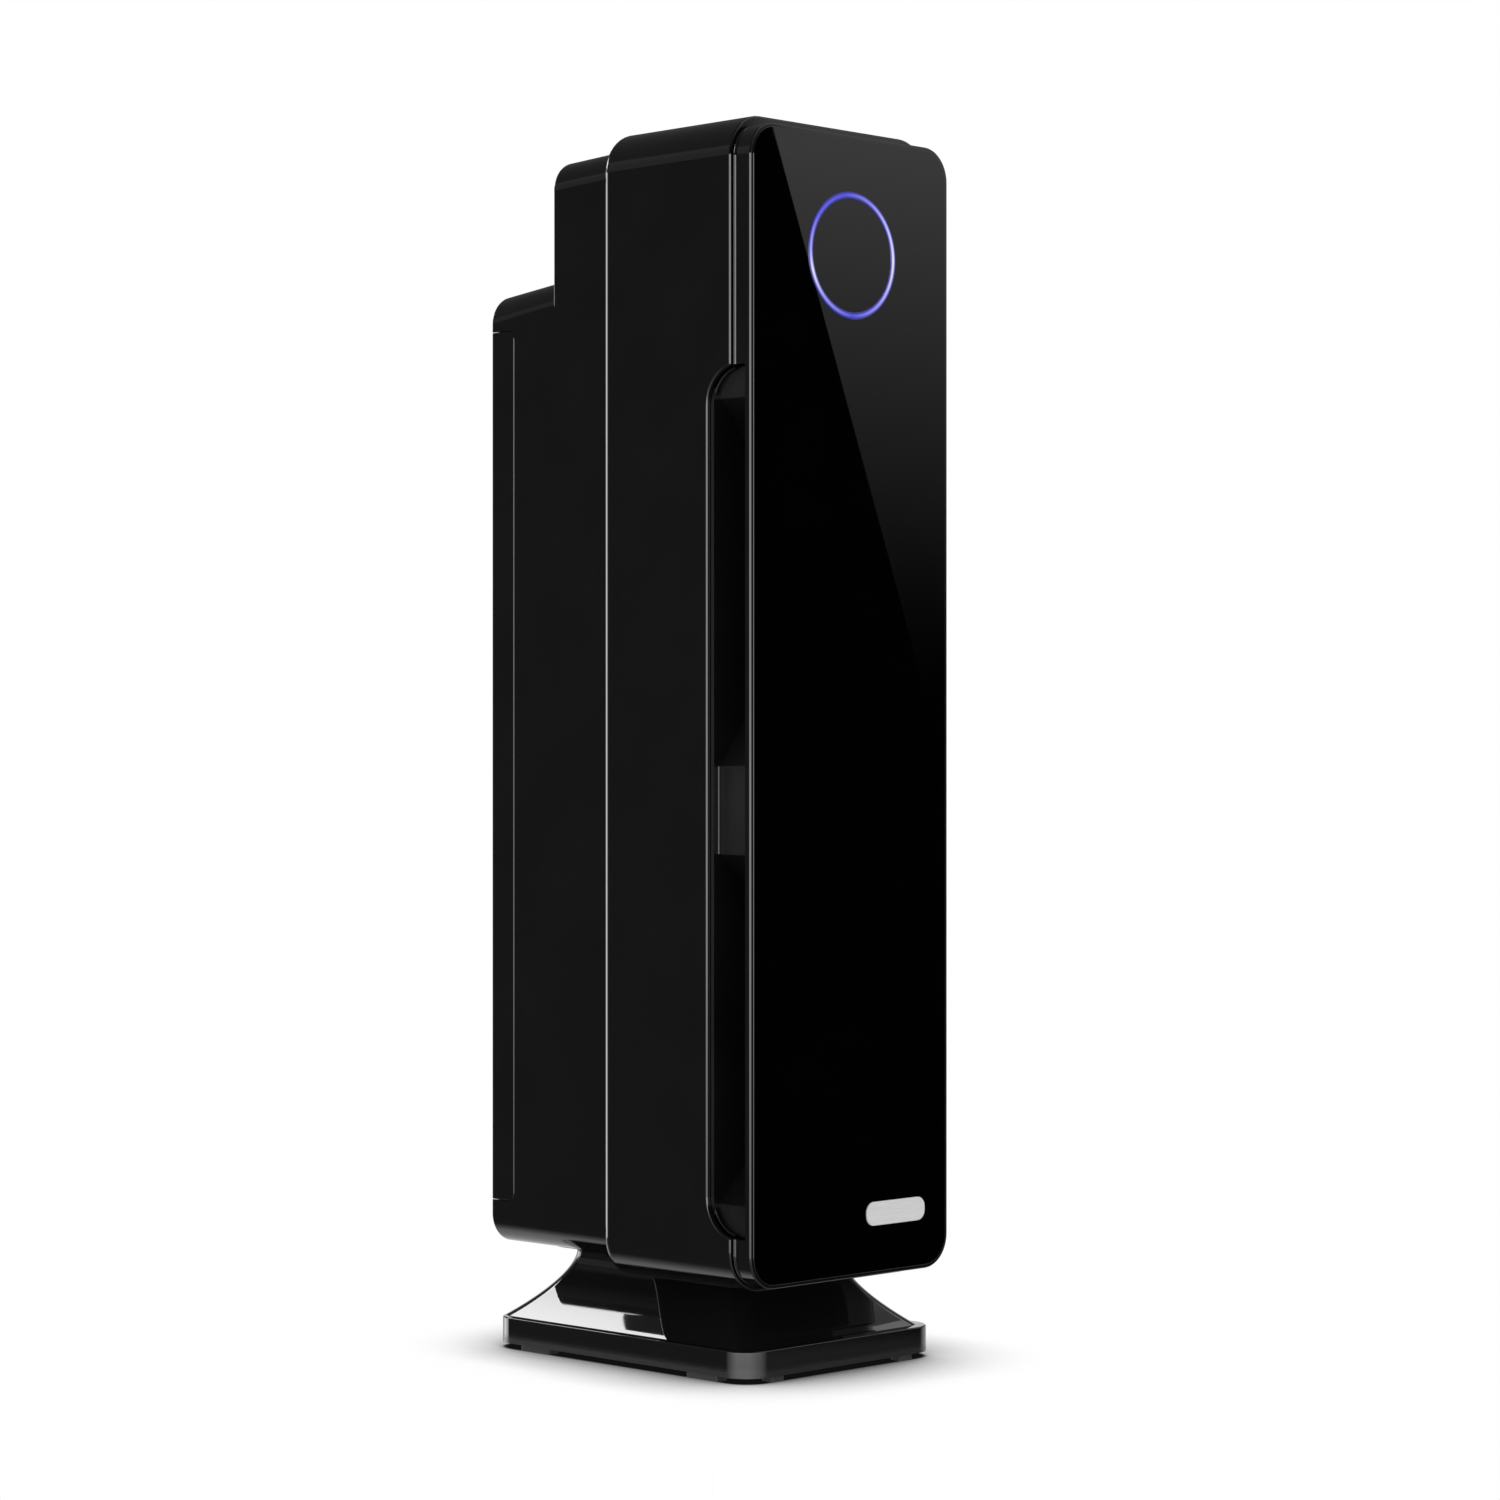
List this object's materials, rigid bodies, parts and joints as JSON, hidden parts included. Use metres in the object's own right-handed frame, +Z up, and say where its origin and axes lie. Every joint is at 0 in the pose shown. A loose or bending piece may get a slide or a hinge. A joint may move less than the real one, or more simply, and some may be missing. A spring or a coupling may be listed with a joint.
{
  "type": "tower air purifier",
  "caption": "Slim upright room air purifier on a flared pedestal, with a gloss front panel, a lit ring, tall side outlets and a lift-off filter cover at the back.",
  "frame": {"origin": "centre of the footprint's box on the floor, under the feet", "axes": "+Z up, -Y out of the front panel, +X to the right when the panel is seen from the front"},
  "size_m": [0.165, 0.2258, 0.714],
  "materials": {
    "shell_gloss": "gloss moulded",
    "panel_gloss": "polished",
    "ring_light": "lit translucent",
    "badge_metal": "brushed",
    "guide_plastic": "fine texture",
    "foot_rubber": "matt",
    "base_plastic": "fine texture",
    "blower_plastic": "moulded",
    "wheel_plastic": "moulded",
    "motor_steel": "zinc plated",
    "shaft_steel": "ground",
    "bush_brass": "turned",
    "filter_card": "card",
    "filter_media": "pleated fibre sheet",
    "carbon_foam": "open foam",
    "gasket_foam": "closed foam",
    "tab_fabric": "woven tape",
    "switch_plastic": "moulded",
    "plunger_plastic": "moulded",
    "lamp_glass": "clear quartz",
    "board_green": "solder mask",
    "component_dark": "moulded",
    "capacitor_metal": "drawn can",
    "led_white": "moulded lens",
    "loom_sleeve": "sleeve",
    "ribbon_grey": "ribbon"
  },
  "bodies": {
    "tower": {"front_housing": "shell_gloss", "front_bezel": "shell_gloss", "rear_housing": "shell_gloss", "pedestal": "shell_gloss", "front_panel": "panel_gloss", "touch_window": "panel_gloss", "light_ring": "ring_light", "badge_plate": "badge_metal", "air_guide": "guide_plastic", "base_feet": "foot_rubber", "base_bottom_plate": "base_plastic", "filter_tray": "base_plastic", "upper_scroll": "blower_plastic", "lower_scroll": "blower_plastic", "upper_inlet_ring": "blower_plastic", "lower_inlet_ring": "blower_plastic", "motor_can": "motor_steel", "motor_stator": "motor_steel", "motor_standoffs": "shaft_steel", "base_screws": "shaft_steel", "neck_screws": "shaft_steel", "housing_screws": "shaft_steel", "motor_bushes": "bush_brass", "inlet_pins": "bush_brass", "interlock_switch": "switch_plastic", "uv_sockets": "switch_plastic", "mains_inlet": "switch_plastic", "board_standoffs": "switch_plastic", "uv_lamp": "lamp_glass", "power_board": "board_green", "touch_board": "board_green", "board_transformer": "component_dark", "uv_ballast": "component_dark", "run_capacitor": "capacitor_metal", "ring_leds": "led_white", "motor_loom": "loom_sleeve", "mains_loom": "loom_sleeve", "panel_ribbon": "ribbon_grey"},
    "rotor": {"motor_shaft": "shaft_steel", "upper_impeller": "wheel_plastic", "lower_impeller": "wheel_plastic", "rotor_core": "motor_steel"},
    "cover": {"filter_cover": "shell_gloss"},
    "filter_pack": {"filter_frame": "filter_card", "filter_pleats": "filter_media", "carbon_prefilter": "carbon_foam", "filter_tab": "tab_fabric", "filter_gasket": "gasket_foam"},
    "plunger": {"interlock_plunger": "plunger_plastic"}
  },
  "joints": [
    {"name": "fan_spin", "type": "hinge", "parent": "tower", "child": "rotor", "pos_m": [0.006, -0.02895, 0.327], "axis": [0, 0, 1], "continuous": true},
    {"name": "cover_slide", "type": "slide", "parent": "tower", "child": "cover", "axis": [0, 1, 0], "range_m": [0, 0.16]},
    {"name": "filter_slide", "type": "slide", "parent": "tower", "child": "filter_pack", "axis": [0, 1, 0], "range_m": [0, 0.08]},
    {"name": "plunger_out", "type": "slide", "parent": "tower", "child": "plunger", "axis": [0, 1, 0], "range_m": [0, 0.003]}
  ],
  "couplings": [
    {"joint": "filter_slide", "follows": "cover_slide", "ratio": 0.5},
    {"joint": "plunger_out", "follows": "cover_slide", "ratio": 0.01875}
  ]
}
